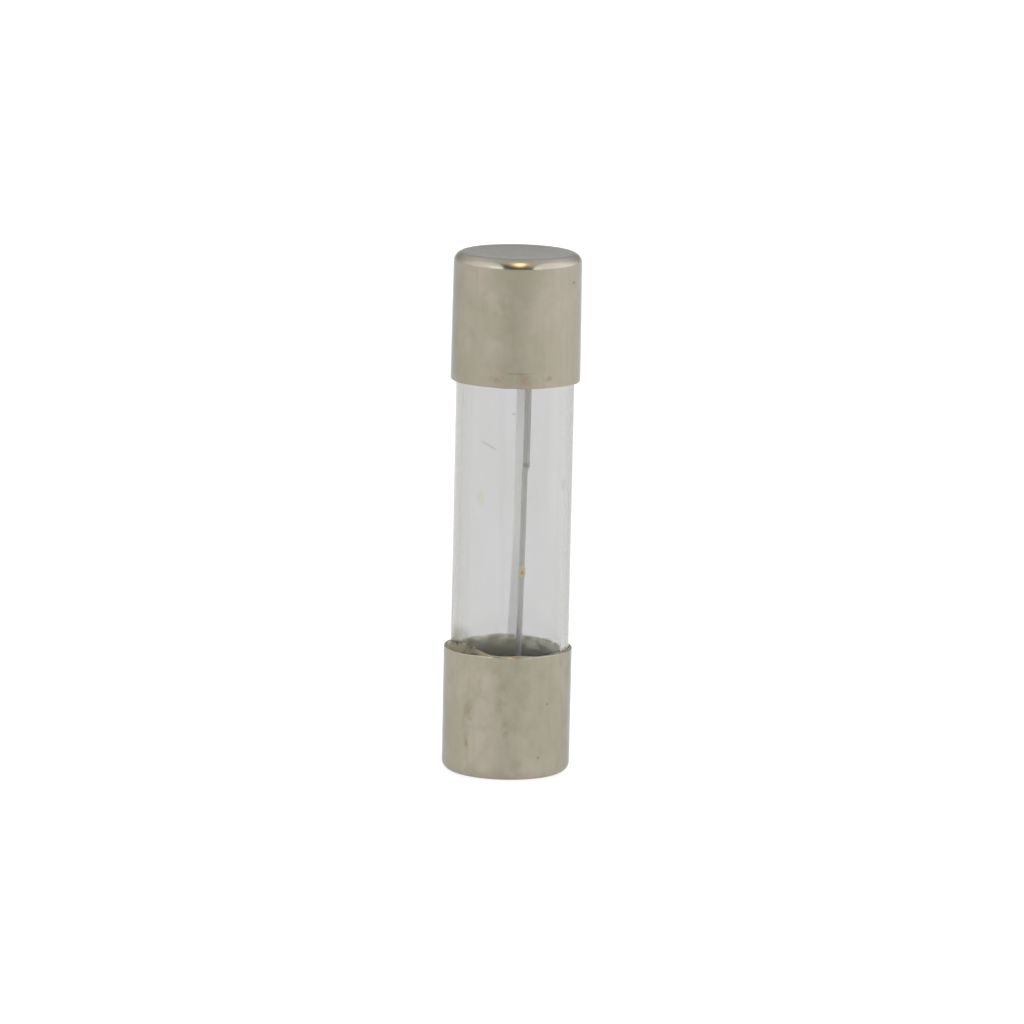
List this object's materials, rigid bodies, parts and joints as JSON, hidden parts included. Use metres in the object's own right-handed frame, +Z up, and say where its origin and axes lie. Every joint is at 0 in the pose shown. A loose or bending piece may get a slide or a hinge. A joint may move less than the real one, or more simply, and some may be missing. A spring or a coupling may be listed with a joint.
{
  "type": "cartridge fuse",
  "caption": "Glass tube fuse with two plated metal end caps and a straight wire element soldered between them.",
  "frame": {"origin": "centre of the fuse's box at the lower cap's end face, which is on the glass tube's axis within 0.03 mm", "axes": "+Z up the tube's axis to the upper cap; the wire is to the +X side of the axis"},
  "size_m": [0.0051, 0.005, 0.0205],
  "materials": {
    "clear_glass": "polished",
    "nickel_plate": "satin",
    "tinned_wire": "satin",
    "solder": "satin",
    "cement": "matte"
  },
  "bodies": {
    "root": {"glass_tube": "clear_glass", "upper_end_cap": "nickel_plate", "lower_end_cap": "nickel_plate", "fuse_wire": "tinned_wire", "upper_solder": "solder", "lower_solder": "solder", "upper_cement_ring": "cement", "lower_cement_ring": "cement"}
  },
  "joints": []
}
